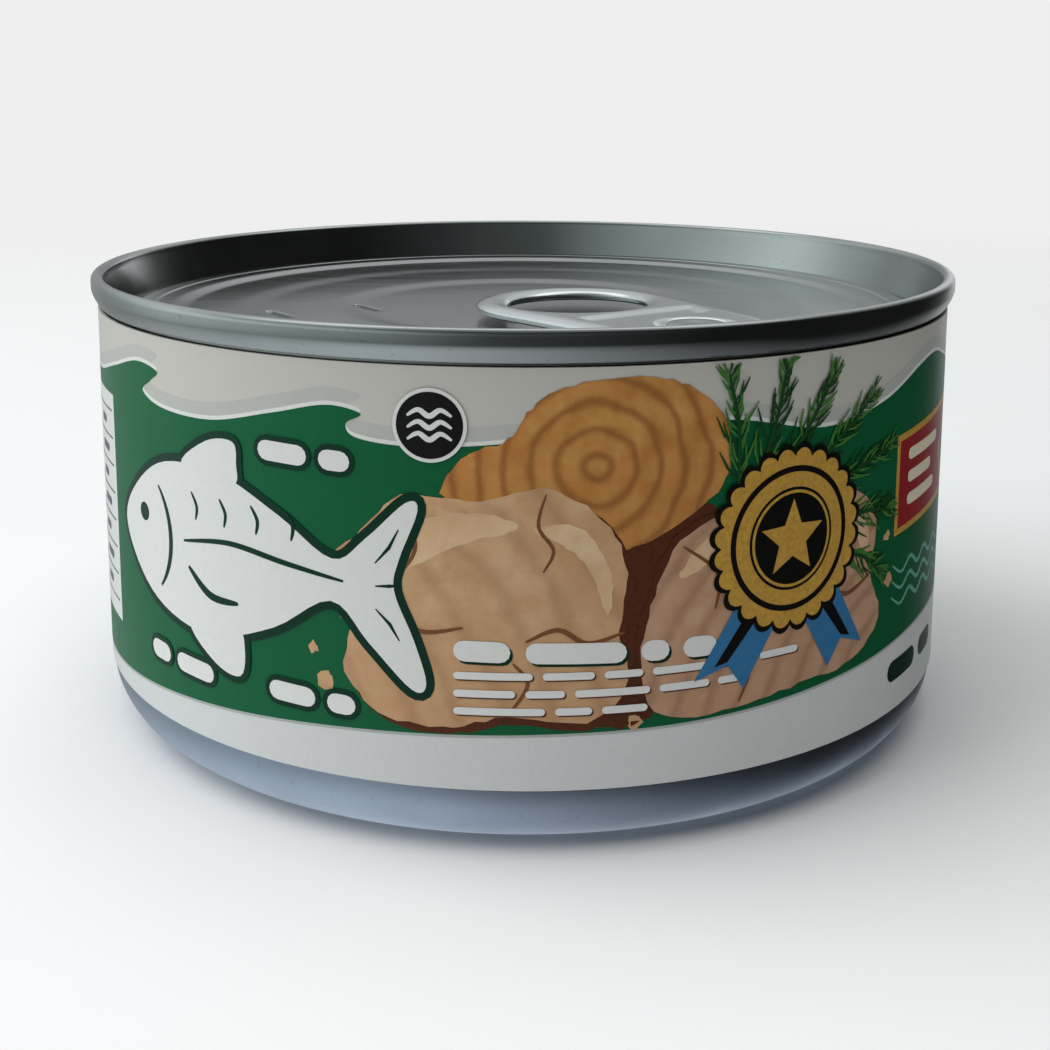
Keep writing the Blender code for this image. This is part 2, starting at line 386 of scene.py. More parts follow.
def paper_finish(name, light, dark, upper=None):
    """Varnished paper; it turns to the upper colour, where one is given, towards its top edge: painted
    shade under the rim.
    """
    material, tree, shader = new_material(name)
    paper = add_varnish(tree, shader, 0.2)
    fibre = add_range(tree, paper.outputs["Fibre"], 0.3, 0.7)
    colour = mix_colours(tree, fibre, light, dark)
    # Painted shade: darker and warmer towards the label's top edge, under the rim
    if upper:
        height = split_axes(tree, object_place(tree))[2]
        share = add_range(tree, height, TOP_SHADE_START, TOP_SHADE_END)
        colour = mix_colours(tree, share, colour, upper)
    tree.links.new(colour, shader.inputs["Base Color"])
    return material


def flesh_finish(name, middle_point, band_scale, colours, low, high, depth):
    """Printed cooked fish: flakes curve round a point of the label; it darkens from high to low."""
    light, middle, dark = colours
    along, up = middle_point
    tree, shader = new_material(name)[1:]
    place = object_place(tree)
    offset = tree.nodes.new("ShaderNodeVectorMath")
    offset.operation = "SUBTRACT"
    tree.links.new(place, offset.inputs[0])
    offset.inputs[1].default_value = on_label(along * MM, up * MM, 0.0)
    flesh = add_group(tree, "flaked_flesh")
    tree.links.new(offset.outputs["Vector"], flesh.inputs["Place"])
    flesh.inputs["Band Scale"].default_value = band_scale
    streaks = add_range(tree, flesh.outputs["Streaks"], 0.34, 0.66)
    body = mix_colours(tree, streaks, light, middle)
    height = split_axes(tree, place)[2]
    drop = add_range(tree, height, high * MM, low * MM, 0.0, 0.75)
    patch = add_range(tree, flesh.outputs["Shade"], 0.42, 0.62, 0.0, 0.6)
    shaded = mix_colours(tree, add_math(tree, "MAXIMUM", drop, patch), body, middle)
    lined = add_math(tree, "MULTIPLY", flesh.outputs["Bands"], depth)
    tree.links.new(mix_colours(tree, lined, shaded, dark), shader.inputs["Base Color"])
    add_varnish(tree, shader, 0.25)


# Turned shapes

def polar(centre_x, centre_y, radius, angle):
    """The point at a radius and an angle, in radians, from a centre."""
    return (centre_x + radius * math.cos(angle), centre_y + radius * math.sin(angle))


def arc(centre_x, centre_y, radius, start, end, count):
    """Points on an arc, with angles in degrees."""
    points = []
    for index in range(count + 1):
        angle = math.radians(start + (end - start) * index / count)
        points.append(polar(centre_x, centre_y, radius, angle))
    return points


def soft_step(outer, inner, high, low, count=14):
    """A smooth drop from one level to another, from the outer radius inwards."""
    points = []
    for index in range(count + 1):
        part = index / count
        ease = 0.5 - 0.5 * math.cos(math.pi * part)
        points.append((outer + (inner - outer) * part, high + (low - high) * ease))
    return points


def fill_in(profile, spacing):
    """The same profile with extra points, so that no straight run is longer than the spacing."""
    filled = [profile[0]]
    for (x0, z0), (x1, z1) in zip(profile, profile[1:]):
        count = max(1, math.ceil(math.hypot(x1 - x0, z1 - z0) / spacing))
        for index in range(1, count + 1):
            part = index / count
            filled.append((x0 + (x1 - x0) * part, z0 + (z1 - z0) * part))
    return filled


def finish_mesh(name, shape, material):
    """A smooth-shaded object from a working mesh, with creases where it turns sharply."""
    bmesh.ops.recalc_face_normals(shape, faces=shape.faces)
    mesh = bpy.data.meshes.new(name)
    shape.to_mesh(mesh)
    shape.free()
    for face in mesh.polygons:
        face.use_smooth = True
    mesh.set_sharp_from_angle(angle=SHARP_ANGLE)
    mesh.materials.append(material)
    return add_object(name, mesh)


def turned(name, profile, steps, material, press=None):
    """A solid turned round Z from (radius, height) points; press may work on its mesh."""
    shape = bmesh.new()
    rings = []
    for radius, height in profile:
        if radius < 1e-7:
            rings.append([shape.verts.new((0.0, 0.0, height))])
            continue
        loop = []
        for index in range(steps):
            place = polar(0.0, 0.0, radius, 2 * math.pi * index / steps)
            loop.append(shape.verts.new((*place, height)))
        rings.append(loop)
    for inner, outer in zip(rings, rings[1:]):
        for index in range(steps):
            after = (index + 1) % steps
            if len(inner) == 1 and len(outer) == 1:
                continue
            if len(inner) == 1:
                shape.faces.new((inner[0], outer[index], outer[after]))
            elif len(outer) == 1:
                shape.faces.new((inner[index], inner[after], outer[0]))
            else:
                shape.faces.new((inner[index], inner[after], outer[after], outer[index]))
    if press is not None:
        press(shape)
    return finish_mesh(name, shape, material)


def cup_profile():
    """From the middle of the hidden top, down the wall and in under the can."""
    corner_width = BAND_RADIUS - STAND_RING_OUTER
    shoulder = 0.1 * MM
    band_top = LABEL_BOTTOM - 0.05 * MM
    profile = [
        (0.0, CUP_TOP),
        (WALL_RADIUS, CUP_TOP),
        (WALL_RADIUS, LABEL_BOTTOM + 1.2 * MM),
        (LABEL_INNER - 0.03 * MM, LABEL_BOTTOM + 0.4 * MM),
        (LABEL_INNER - 0.03 * MM, band_top),
    ]
    profile += arc(BAND_RADIUS - shoulder, band_top - shoulder, shoulder, 90.0, 0.0, 4)
    for x, z in arc(0.0, 0.0, 1.0, 0.0, -90.0, 28):
        profile.append((STAND_RING_OUTER + corner_width * x, (band_top - shoulder) * (1.0 + z)))
    profile += [
        (STAND_RING_INNER + 0.2 * MM, 0.0),
        (STAND_RING_INNER, 0.06 * MM),
        (BASE_RECESS_RADIUS + 0.4 * MM, BASE_RECESS - 0.3 * MM),
        (BASE_RECESS_RADIUS + 0.15 * MM, BASE_RECESS - 0.05 * MM),
        (BASE_RECESS_RADIUS - 0.2 * MM, BASE_RECESS),
    ]
    half = BASE_BEAD_WIDTH / 2
    for index in range(13):
        part = index / 12
        rise = BASE_BEAD_HEIGHT * (0.5 - 0.5 * math.cos(2 * math.pi * part))
        profile.append((BASE_BEAD_RADIUS + half - 2 * half * part, BASE_RECESS + rise))
    profile.append((0.0, BASE_RECESS))
    return profile


def lid_profile():
    """From the middle of the panel out to the rolled rim, and down its outer side."""
    level = PANEL_LEVEL
    inwards = []
    for outer, inner, drop in STEPS:
        inwards += soft_step(outer, inner, level, level - drop)
        level -= drop
    profile = [(0.0, level)] + inwards[::-1]
    for index in range(9):
        part = index / 8
        dip = SCORE_DEPTH * (0.5 - 0.5 * math.cos(2 * math.pi * part))
        profile.append((SCORE_RADIUS - SCORE_WIDTH / 2 + SCORE_WIDTH * part, PANEL_LEVEL - dip))
    edge = 0.35 * MM
    profile += arc(PANEL_EDGE_RADIUS - edge, PANEL_LEVEL - edge, edge, 90.0, 0.0, 8)
    half = COUNTERSINK_HALF_WIDTH
    profile += arc(COUNTERSINK_RADIUS, COUNTERSINK_LEVEL + half, half, 195.0, 345.0, 14)
    crest_centre = RIM_RADIUS - CREST_ROUNDING
    profile += arc(crest_centre, CAN_HEIGHT - CREST_ROUNDING, CREST_ROUNDING, 180.0, 0.0, 24)
    for index in range(13):
        part = index / 12
        radius = RIM_RADIUS - (RIM_RADIUS - SEAM_BOTTOM_RADIUS) * part ** 1.5
        profile.append((radius, SEAM_WALL_BOTTOM - (SEAM_WALL_BOTTOM - SEAM_BOTTOM) * part))
    return profile + [(WALL_RADIUS, SEAM_BOTTOM), (WALL_RADIUS, LID_UNDERSIDE), (0.0, LID_UNDERSIDE)]


def from_dash(place, centre):
    """The distance of a point of the lid from a dash's middle line, in half widths of the dash."""
    axis = Vector((math.cos(TAB_TURN), math.sin(TAB_TURN)))
    offset = Vector((place.x - centre[0], place.y - centre[1]))
    half = (DASH_LENGTH - DASH_WIDTH) / 2
    along = max(-half, min(half, offset.dot(axis)))
    return (offset - along * axis).length / (DASH_WIDTH / 2)


def press_dashes(shape):
    """Presses the two short dashes into the lid's upper face, on a finer patch of the mesh."""
    upper_face = LID_UNDERSIDE + 1.0 * MM
    for centre in DASH_CENTRES:
        near = []
        for edge in shape.edges:
            ends = [vertex.co for vertex in edge.verts]
            if min(end.z for end in ends) > upper_face:
                if min(from_dash(end, centre) for end in ends) < 1.9:
                    near.append(edge)
        bmesh.ops.subdivide_edges(shape, edges=near, cuts=3, use_grid_fill=True)
        for vertex in shape.verts:
            if vertex.co.z < upper_face:
                continue
            part = min(1.0, max(0.0, (1.15 - from_dash(vertex.co, centre)) / 0.5))
            vertex.co.z -= DASH_DEPTH * part * part * (3 - 2 * part)


def rivet_profile():
    """From the middle of the rivet's head, over its edge and down its shank."""
    bottom = TAB_UNDERSIDE + TAB_THICKNESS - POCKET_DEPTH + GAP
    top = bottom + RIVET_HEAD_HEIGHT
    dimple = top - 0.06 * MM
    return [
        (0.0, dimple),
        (0.8 * MM, dimple),
        (1.1 * MM, top),
        (RIVET_HEAD_RADIUS * 0.62, top - 0.02 * MM),
        *arc(RIVET_HEAD_RADIUS - 0.3 * MM, bottom + 0.1 * MM, 0.3 * MM, 80.0, -15.0, 8),
        (RIVET_HEAD_RADIUS - 0.1 * MM, bottom),
        (RIVET_SHANK_RADIUS, bottom),
        (RIVET_SHANK_RADIUS, TAB_UNDERSIDE),
        (0.0, TAB_UNDERSIDE),
    ]


# Ring pull

def side_lean():
    """Half the angle between the two straight sides of the ring pull, in degrees."""
    return math.degrees(math.asin((RING_OUTER_RADIUS - NOSE_RADIUS) / NOSE_DISTANCE))


def tab_outline():
    """Ring and nose joined by their two shared tangents; X runs from the ring to the nose."""
    side = 90.0 - side_lean()
    ring = arc(0.0, 0.0, RING_OUTER_RADIUS, side, 360.0 - side, 110)
    nose = arc(NOSE_DISTANCE, 0.0, NOSE_RADIUS, -side, side, 80)
    return fill_in(ring + nose + ring[:1], 0.4 * MM)[:-1]


def half_width(distance):
    """Half the width inside the curled edges, at a distance from the ring's middle."""
    lean = math.radians(side_lean())
    return RING_OUTER_RADIUS / math.cos(lean) - distance * math.tan(lean) - CURLED_EDGE_WIDTH


def pocket_outline():
    """The sunk web between ring and nose: a rounded shape that follows the two sides."""
    corner = POCKET_CORNER
    near_half = half_width(POCKET_START) - corner
    far_half = half_width(POCKET_END) - corner
    outline = arc(POCKET_END - corner, far_half, corner, 0.0, 90.0, 8)
    outline += arc(POCKET_START + corner, near_half, corner, 90.0, 180.0, 8)
    outline += arc(POCKET_START + corner, -near_half, corner, 180.0, 270.0, 8)
    outline += arc(POCKET_END - corner, -far_half, corner, 270.0, 360.0, 8)
    return outline


def oval(centre_x, length, width, count):
    points = []
    for index in range(count):
        angle = 2 * math.pi * index / count
        points.append((centre_x + length / 2 * math.cos(angle), width / 2 * math.sin(angle)))
    return points


def plate_mesh(outlines, thickness, rounding, resolution):
    """A flat plate from closed outlines with rounded edges, centred on height 0."""
    curve = bpy.data.curves.new("plate_outline", "CURVE")
    curve.dimensions = "2D"
    curve.fill_mode = "BOTH"
    curve.extrude = thickness / 2 - rounding
    curve.bevel_depth = rounding
    curve.bevel_resolution = resolution
    curve.offset = -rounding
    for outline in outlines:
        spline = curve.splines.new("POLY")
        spline.points.add(len(outline) - 1)
        for point, (x, y) in zip(spline.points, outline):
            point.co = (x, y, 0.0, 1.0)
        spline.use_cyclic_u = True
    drawn = add_object("plate_drawn", curve)
    graph = bpy.context.evaluated_depsgraph_get()
    mesh = bpy.data.meshes.new_from_object(drawn.evaluated_get(graph))
    bpy.data.objects.remove(drawn)
    shape = bmesh.new()
    shape.from_mesh(mesh)
    bmesh.ops.remove_doubles(shape, verts=shape.verts, dist=0.000002)
    bmesh.ops.recalc_face_normals(shape, faces=shape.faces)
    shape.to_mesh(mesh)
    shape.free()
    return mesh


def distance_to(places, outline):
    """How far each point is from the corners of a closely drawn outline, seen from above."""
    corners = np.array(outline)
    nearest = np.empty(len(places))
    for start in range(0, len(places), 4000):
        part = places[start:start + 4000, None, :2] - corners[None, :, :]
        nearest[start:start + 4000] = np.sqrt((part ** 2).sum(axis=2)).min(axis=1)
    return nearest


def inside(places, outline):
    """Which points lie inside an outline, seen from above."""
    found = np.zeros(len(places), bool)
    for (x0, y0), (x1, y1) in zip(outline, outline[1:] + outline[:1]):
        if y0 == y1:
            continue
        crosses = (places[:, 1] > min(y0, y1)) & (places[:, 1] <= max(y0, y1))
        found ^= crosses & (places[:, 0] < x0 + (places[:, 1] - y0) * (x1 - x0) / (y1 - y0))
    return found


def shape_tab_face(mesh, edges, sunk):
    """Rounds the tab's upper face down towards its edges and sinks its web and rivet dish."""
    places = np.array([vertex.co for vertex in mesh.vertices])
    upper = np.clip(places[:, 2] / (TAB_THICKNESS / 2), 0.0, 1.0)
    drop = CROWN_DROP * np.clip(1.0 - distance_to(places, edges) / CROWN_WIDTH, 0.0, 1.0) ** 2
    for outline, depth, wall in sunk:
        share = np.clip(distance_to(places, outline) / wall, 0.0, 1.0)
        share = np.where(inside(places, outline), share * share * (3 - 2 * share), 0.0)
        drop = np.maximum(drop, depth * share)
    places[:, 2] -= drop * upper
    mesh.vertices.foreach_set("co", places.ravel())
    mesh.update()


def make_pull_tab(material):
    """The riveted ring pull: plate, sunk web and rivet dish, softened like stamped sheet."""
    outlines = [tab_outline(), oval(0.0, FINGER_HOLE_LENGTH, FINGER_HOLE_WIDTH, 160)]
    tab = add_object("pull_tab_fine", plate_mesh(outlines, TAB_THICKNESS, TAB_EDGE_ROUNDING, 5))
    hole = 2 * RIVET_HOLE_RADIUS
    cutter_mesh = plate_mesh([oval(RIVET_DISTANCE, hole, hole, 64)], 4 * TAB_THICKNESS, 0.2 * MM, 2)
    cutter = add_object("rivet_hole_cutter", cutter_mesh)
    modifier = tab.modifiers.new("Rivet hole", "BOOLEAN")
    modifier.operation = "DIFFERENCE"
    modifier.solver = "EXACT"
    modifier.object = cutter
    remesh = tab.modifiers.new("Even mesh", "REMESH")
    remesh.mode = "VOXEL"
    remesh.voxel_size = TAB_MESH_SIZE
    soften = tab.modifiers.new("Soften", "SMOOTH")
    soften.factor = 0.5
    soften.iterations = TAB_SOFTENING
    bpy.context.view_layer.update()
    graph = bpy.context.evaluated_depsgraph_get()
    mesh = bpy.data.meshes.new_from_object(tab.evaluated_get(graph))
    tab.modifiers.clear()
    bpy.data.objects.remove(cutter)
    dish = 2 * RIVET_DISH_RADIUS
    web = pocket_outline()
    sunk = (
        (fill_in(web + web[:1], 0.1 * MM)[:-1], WEB_DEPTH, WEB_WALL),
        (oval(RIVET_DISTANCE, dish, dish, 120), POCKET_DEPTH, RIVET_DISH_WALL),
    )
    shape_tab_face(mesh, outlines[0] + outlines[1], sunk)
    middle = (*polar(0.0, 0.0, RING_OFFSET, TAB_TURN), TAB_UNDERSIDE + TAB_THICKNESS / 2)
    mesh.transform(Matrix.Translation(middle) @ Matrix.Rotation(TAB_TURN, 4, "Z"))
    for face in mesh.polygons:
        face.use_smooth = True
    mesh.materials.clear()
    mesh.materials.append(material)
    tab.data = mesh
    return tab


# Label: a sheet in two measures, along the wall from the front's middle (to the right) and up

def paper_radius(angle):
    """The paper's outer face; it rises towards the glued overlap at the back, then steps down."""
    turn = (angle + math.pi) % (2 * math.pi) - math.pi
    to_seam = math.pi - turn
    lift = 0.0
    if to_seam < OVERLAP_RAMP:
        lift = 0.5 + 0.5 * math.cos(math.pi * to_seam / OVERLAP_RAMP)
    if turn + math.pi < OVERLAP_DROP:
        lift = 1.0 - (turn + math.pi) / OVERLAP_DROP
    return LABEL_OUTER + OVERLAP_LIFT * lift


def on_label(along, up, level):
    """A point of the label's print as a point of the can; level counts the layers of ink."""
    angle = along / LABEL_OUTER
    radius = paper_radius(angle) + level * INK_LEVEL
    return Vector((radius * math.sin(angle), -radius * math.cos(angle), up))


def make_sleeve(material):
    """The paper as a closed sleeve with fine bevels and a glued overlap."""
    shape = bmesh.new()
    steps = 2 * FINE_STEPS
    angles = [-math.pi + 2 * math.pi * index / steps for index in range(steps)]
    angles.insert(1, -math.pi + OVERLAP_DROP)
    heights = [LABEL_BOTTOM, LABEL_BOTTOM + 0.1 * MM, LABEL_TOP - 0.1 * MM, LABEL_TOP]
    columns = []
    for angle in angles:
        outer = paper_radius(angle)
        column = []
        for radius, levels in ((outer, heights), (LABEL_INNER, heights[::-1])):
            for height in levels:
                place = (radius * math.sin(angle), -radius * math.cos(angle), height)
                column.append(shape.verts.new(place))
        columns.append(column)
    for first, second in zip(columns, columns[1:] + columns[:1]):
        for index in range(len(first)):
            after = (index + 1) % len(first)
            shape.faces.new((first[index], first[after], second[after], second[index]))
    return finish_mesh("label_sleeve", shape, material)


def smooth_line(knots, count=8, closed=False):
    """A smooth curve that passes through every knot."""
    total = len(knots)
    spans = total if closed else total - 1
    points = []
    for span in range(spans):
        if closed:
            a, b, c, d = (knots[(span + shift) % total] for shift in (-1, 0, 1, 2))
        else:
            a, b, c, d = (knots[min(max(span + shift, 0), total - 1)] for shift in (-1, 0, 1, 2))
        for index in range(count):
            t = index / count
            point = []
            for axis in (0, 1):
                slope = c[axis] - a[axis]
                bend = 2 * a[axis] - 5 * b[axis] + 4 * c[axis] - d[axis]
                twist = -a[axis] + 3 * b[axis] - 3 * c[axis] + d[axis]
                point.append(0.5 * (2 * b[axis] + slope * t + bend * t * t + twist * t ** 3))
            points.append(tuple(point))
    if not closed:
        points.append(tuple(knots[-1]))
    return points


def blob(knots, count=8):
    return smooth_line(knots, count, closed=True)


def stroke(points, width):
    """A pen stroke as a closed outline, narrower towards both ends."""
    left, right = [], []
    last = len(points) - 1
    for index, (x, y) in enumerate(points):
        x0, y0 = points[max(0, index - 1)]
        x1, y1 = points[min(last, index + 1)]
        length = math.hypot(x1 - x0, y1 - y0) or 1.0
        part = index / last
        half = width / 2 * max(0.12, math.sin(math.pi * (0.06 + 0.88 * part)) ** 0.6)
        across = (-(y1 - y0) / length * half, (x1 - x0) / length * half)
        left.append((x + across[0], y + across[1]))
        right.append((x - across[0], y - across[1]))
    return left + right[::-1]


def pen(knots, count, width):
    """A pen stroke along a smooth line through the knots."""
    return stroke(smooth_line(knots, count), width)


def ripple(start, y, step, height, count, width):
    """A small wavy line of water with nine knots."""
    knots = [(start + step * index, y + height * (-1) ** index) for index in range(9)]
    return pen(knots, count, width)


def disc(x, y, radius, count=48):
    return arc(x, y, radius, 0.0, 360.0 * (count - 1) / count, count - 1)


def ring_halves(x, y, outer, inner, count=32):
    """A flat ring as two half bands that meet."""
    halves = []
    for start in (0.0, 180.0):
        band = arc(x, y, outer, start, start + 180.0, count)
        halves.append(band + arc(x, y, inner, start + 180.0, start, count))
    return halves


def bar(x0, x1, y, height, slope=0.0):
    """A rounded bar that slopes by so much a millimetre."""
    half = height / 2
    right = arc(x1 - half, y, half, -90.0, 90.0, 6)
    left = arc(x0 + half, y, half, 90.0, 270.0, 6)
    return [(px, py + slope * (px - x0)) for px, py in right + left]


def bar_row(x0, y, height, lengths, space, slope=0.0):
    """A row of rounded bars of the given lengths, with a space between them."""
    bars = []
    at = x0
    for length in lengths:
        bars.append(bar(at, at + length, y + slope * (at - x0), height, slope))
        at += length + space
    return bars


def scallop(x, y, outer, inner):
    """A round edge of equal bulges."""
    points = []
    steps = BULGES * 8
    for index in range(steps):
        angle = 2 * math.pi * index / steps
        radius = inner + (outer - inner) * abs(math.sin(BULGES * angle / 2)) ** 0.7
        points.append(polar(x, y, radius, angle))
    return points


def star(x, y, outer, inner):
    """A star with five points."""
    points = []
    for index in range(10):
        radius = outer if index % 2 == 0 else inner
        angle = math.pi / 2 + math.pi * index / 5
        points.append(polar(x, y, radius, angle))
    return points


def printed(name, outlines, level, finish):
    """Ink shapes, given in millimetres on the flat label, wrapped round the can as thin skins."""
    shape = bmesh.new()
    for outline in outlines:
        flat = [Vector((x * MM, y * MM, 0.0)) for x, y in outline]
        corners = [shape.verts.new(point) for point in flat]
        for a, b, c in tessellate_polygon([flat]):
            if (flat[b] - flat[a]).cross(flat[c] - flat[a]).length > 1e-14:
                shape.faces.new((corners[a], corners[b], corners[c]))
    low = min(v.co.x for v in shape.verts)
    high = max(v.co.x for v in shape.verts)
    cut_at = math.ceil(low / INK_CUT) * INK_CUT
    while cut_at < high:
        everything = shape.verts[:] + shape.edges[:] + shape.faces[:]
        cut = {"plane_co": (cut_at, 0, 0), "plane_no": (1, 0, 0)}
        bmesh.ops.bisect_plane(shape, geom=everything, dist=1e-8, **cut)
        cut_at += INK_CUT
    for vertex in shape.verts:
        vertex.co = on_label(vertex.co.x, vertex.co.y, level)
    bmesh.ops.recalc_face_normals(shape, faces=shape.faces)
    for face in shape.faces:
        face.normal_update()
        outwards = face.calc_center_median()
        outwards.z = 0
        if face.normal.dot(outwards) < 0:
            face.normal_flip()
    bmesh.ops.solidify(shape, geom=shape.faces[:], thickness=0.9 * INK_LEVEL)
    item = finish_mesh("print_" + name, shape, bpy.data.materials[finish])
    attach(item, "root")


# Print, in millimetres: along the wall, then up
PRINT_TOP = 41.0
FIELD_TOP = (
    (-135.0, 36.2), (-118.0, 37.8), (-104.0, 35.2), (-90.0, 37.6), (-76.0, 35.4), (-62.0, 36.6),
    (-53.0, 35.6), (-45.5, 37.0), (-39.5, 38.4), (-35.6, 38.0), (-36.8, 37.0), (-38.3, 35.9),
    (-35.0, 34.9), (-28.0, 34.9), (-21.0, 36.4), (-16.0, 37.5), (-12.9, 37.0), (-14.2, 36.1),
    (-13.2, 35.0), (-8.0, 34.6), (0.0, 35.2), (9.0, 36.6), (18.0, 36.2), (27.0, 34.6), (35.0, 35.6),
    (42.0, 37.7), (47.0, 38.3), (52.0, 37.2), (60.0, 35.6), (74.0, 37.4), (90.0, 35.2), (106.0, 37.6),
    (122.0, 35.4), (135.0, 36.2),
)
FIELD_LOW = (
    (-135.0, 9.4), (-100.0, 7.8), (-66.0, 7.2), (-48.0, 7.9), (-30.0, 9.3), (-15.0, 10.4), (0.0, 10.9),
    (16.0, 11.2), (32.0, 12.2), (48.0, 13.4), (66.0, 13.2), (100.0, 11.0), (135.0, 9.4),
)


def print_background():
    """The green field with its waved upper edge and the shades beside it."""
    top = smooth_line(FIELD_TOP, 8)
    low = smooth_line(FIELD_LOW, 8)
    printed("field", [top + low[::-1]], 1, "ink_green")
    near = [(x, y) for x, y in top if -66 < x < 66]
    for name, lift, level, tone in (("far", 1.5, 0.4, "shade_pale"), ("near", 0.34, 0.7, "white")):
        lifted = [(x, y + lift) for x, y in near]
        printed("wave_shade_" + name, [near + lifted[::-1]], level, "ink_" + tone)
    under = [(x, y) for x, y in low if -60 < x < 62]
    dropped = [(x, y - 0.25) for x, y in under]
    printed("field_edge", [under + dropped[::-1]], 0.5, "ink_pale_grey")


def ragged(outline, amount, seed):
    """The same closed outline with a torn, flaky edge."""
    draw = random.Random(seed)
    torn = []
    for x, y in outline:
        torn.append((x + draw.uniform(-amount, amount), y + draw.uniform(-amount, amount)))
    return torn


def print_fish_chunks():
    """Three chunks of cooked fish, one behind two, with the dark gaps between them."""
    gap = blob(((-3.0, 25.0), (0.0, 31.6), (9.0, 31.8), (17.0, 28.0), (15.0, 20.0), (11.0, 12.4),
                (6.4, 11.4), (3.6, 14.0)))
    top = blob(((-6.2, 30.6), (-4.4, 34.0), (-1.0, 35.4), (1.6, 38.6), (7.0, 40.2), (12.8, 39.6),
                (16.8, 36.4), (17.0, 31.6), (12.0, 27.6), (6.0, 26.0), (-1.0, 27.2)))
    left = blob(((-11.6, 12.2), (-14.6, 15.4), (-14.2, 19.6), (-16.2, 24.2), (-13.0, 27.4), (-9.6, 30.6),
                 (-3.0, 30.4), (2.0, 31.4), (6.6, 28.8), (8.6, 24.4), (8.0, 19.6), (8.8, 15.2), (5.4, 11.9),
                 (-1.0, 12.4), (-6.4, 11.4)), 6)
    right = blob(((11.6, 12.0), (9.8, 16.4), (10.6, 21.4), (13.0, 26.6), (18.6, 29.2), (23.6, 31.2),
                  (30.0, 29.2), (34.4, 25.6), (34.0, 20.4), (35.6, 16.2), (31.6, 13.2), (25.0, 12.6),
                  (18.4, 11.8)), 6)
    crumbs = []
    for x, y, size in ((-16.4, 14.2, 0.8), (-17.6, 17.0, 0.5), (37.2, 19.0, 0.7), (36.6, 23.2, 0.5),
                       (9.4, 11.6, 0.6)):
        crumbs.append(ragged(disc(x, y, size, 14), 0.18, int(x * 7 + 200)))
    printed("gap_shade", [ragged(gap, 0.16, 1)], 2, "ink_brown")
    printed("chunk_top", [ragged(top, 0.13, 2)], 2.6, "flesh_top")
    under = [(x + 0.5, y - 0.55) for x, y in left]
    printed("chunk_left_shade", [ragged(under, 0.16, 3)], 3.0, "ink_brown")
    printed("chunk_left", [ragged(left, 0.13, 4)], 3.6, "flesh_left")
    under = [(x - 0.5, y + 0.3) for x, y in right if y > 13]
    printed("chunk_right_shade", [ragged(under, 0.16, 5)], 4.2, "ink_brown")
    printed("chunk_right", [ragged(right, 0.13, 6)], 4.8, "flesh_right")
    printed("crumbs", crumbs, 2, "flesh_left")
    ledges = [
        blob(((-13.6, 22.8), (-11.6, 26.0), (-7.4, 28.9), (-2.6, 29.3), (-0.2, 28.2), (-4.8, 26.8),
              (-9.4, 24.4))),
        blob(((1.0, 28.2), (4.8, 28.2), (7.2, 24.4), (7.0, 20.8), (5.6, 24.6), (3.4, 26.8))),
    ]
    printed("ledges_left", [ragged(ledge, 0.1, 8) for ledge in ledges], 4.2, "flesh_pale")
    ledges = [
        blob(((13.0, 23.6), (15.4, 26.8), (19.6, 28.0), (22.6, 29.4), (21.0, 27.2), (17.0, 25.2))),
        blob(((25.4, 29.6), (30.0, 28.0), (33.2, 25.0), (32.8, 22.6), (30.2, 26.2), (27.0, 28.0))),
    ]
    printed("ledges_right", [ragged(ledge, 0.1, 9) for ledge in ledges], 5.4, "flesh_pale")
    cracks = [
        pen(((-15.0, 19.9), (-11.0, 20.8), (-8.0, 19.4), (-4.6, 19.9)), 6, 0.42),
        pen(((-9.6, 30.2), (-8.4, 26.6), (-9.6, 24.2)), 6, 0.34),
        pen(((8.4, 19.4), (5.4, 18.6), (3.0, 19.8), (0.4, 18.8)), 6, 0.42),
        pen(((-1.0, 12.6), (0.6, 15.2), (-0.6, 17.0)), 6, 0.34),
        pen(((2.0, 31.0), (1.4, 28.4), (2.6, 26.4), (1.8, 24.6)), 6, 0.3),
    ]
    printed("cracks_left", cracks, 4.8, "ink_tan_line")
    cracks = [
        pen(((13.2, 26.2), (16.4, 23.6), (16.2, 20.6)), 6, 0.34),
        pen(((34.0, 20.6), (30.6, 19.4), (27.8, 20.4), (25.0, 19.2)), 6, 0.42),
        pen(((18.6, 12.2), (19.6, 14.8), (18.6, 17.2)), 6, 0.32),
    ]
    printed("cracks_right", cracks, 6.0, "ink_tan_line")


HERB_STEMS = (
    (18.0, 29.6, -0.10, 10.5), (19.6, 30.2, 0.28, 10.8), (21.4, 30.0, 0.62, 11.4), (23.6, 29.6, 0.95, 12.0),
    (26.0, 28.4, 1.28, 11.0), (28.6, 26.0, 1.62, 8.4), (29.0, 23.4, 2.05, 7.4),
)


